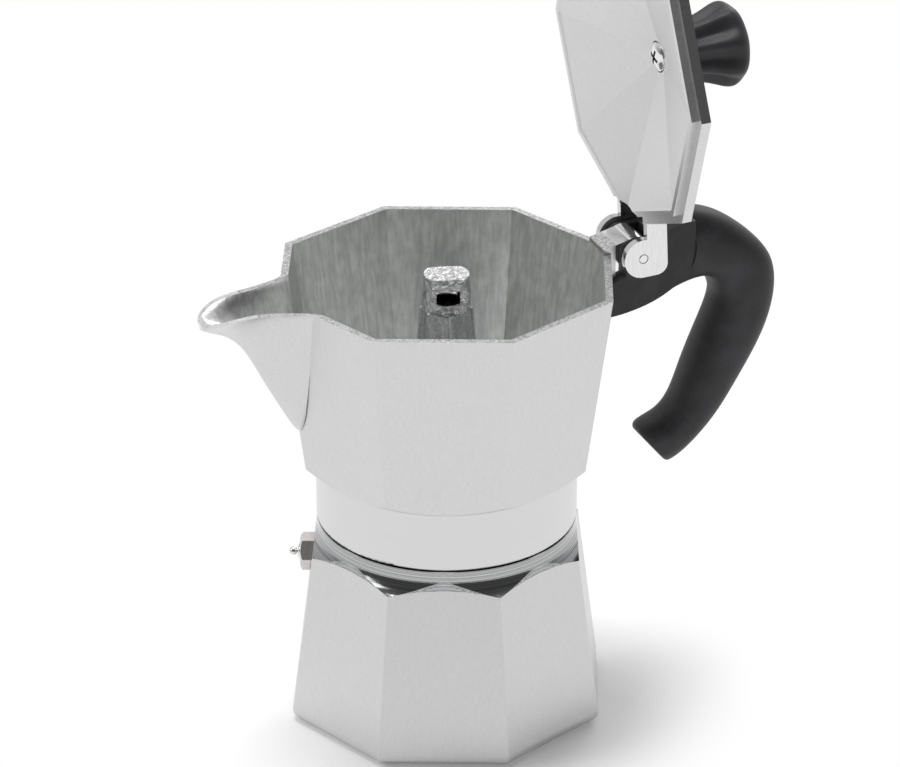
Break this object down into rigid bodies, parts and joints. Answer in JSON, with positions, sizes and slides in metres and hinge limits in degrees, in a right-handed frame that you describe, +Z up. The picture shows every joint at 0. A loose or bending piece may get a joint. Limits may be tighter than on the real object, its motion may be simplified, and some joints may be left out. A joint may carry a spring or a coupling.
{
  "type": "moka pot",
  "caption": "Octagonal aluminium stove-top moka pot with a hinged lid, spout, screwed-on collector, lift-out coffee funnel and safety valve.",
  "frame": {"origin": "centre of the base's underside", "axes": "+Z up along the pot's axis, +X towards the handle, so the spout points along -X and the XZ plane is the plane of symmetry"},
  "size_m": [0.1594, 0.092, 0.2198],
  "materials": {
    "cast_aluminium": "satin, faintly brushed",
    "spun_aluminium": "spun sheet",
    "nickel": "nickel plated",
    "insert_brass": "machined",
    "bright_steel": "bright",
    "red_rubber": "matt",
    "white_silicone": "matt",
    "black_moulding": "satin"
  },
  "bodies": {
    "boiler": {"boiler": "cast_aluminium", "valve_body": "nickel", "valve_cap": "bright_steel", "valve_spring": "bright_steel"},
    "valve_pin": {"valve_pin": "bright_steel", "valve_seal": "red_rubber"},
    "funnel": {"funnel_basket": "spun_aluminium", "funnel_tube": "spun_aluminium", "funnel_strainer": "spun_aluminium"},
    "filter_pack": {"gasket": "white_silicone", "filter_disc": "spun_aluminium"},
    "collector": {"collector": "cast_aluminium", "handle": "black_moulding", "hinge_pin": "bright_steel"},
    "lid": {"lid": "cast_aluminium", "knob": "black_moulding", "knob_insert": "insert_brass", "knob_screw": "bright_steel"}
  },
  "joints": [
    {"name": "valve_pin_slide", "type": "slide", "parent": "boiler", "child": "valve_pin", "axis": [-0.9239, 0.3827, 0], "range_m": [0, 0.0012], "stiffness_N_per_m": 400, "springref_m": -0.002},
    {"name": "funnel_lift", "type": "slide", "parent": "boiler", "child": "funnel", "axis": [0, 0, 1], "range_m": [0, 0.11]},
    {"name": "collector_rise", "type": "slide", "parent": "funnel", "child": "filter_pack", "axis": [0, 0, 1], "range_m": [0, 0.0076]},
    {"name": "collector_turn", "type": "hinge", "parent": "filter_pack", "child": "collector", "pos_m": [0, 0, 0.06], "axis": [0, 0, 1], "range_deg": [0, 900]},
    {"name": "lid_hinge", "type": "hinge", "parent": "collector", "child": "lid", "pos_m": [0.0512, 0, 0.1232], "axis": [0, -1, 0], "range_deg": [0, 87]}
  ],
  "couplings": [
    {"joint": "collector_rise", "follows": "collector_turn", "m_per_rad": 0.00047746}
  ]
}
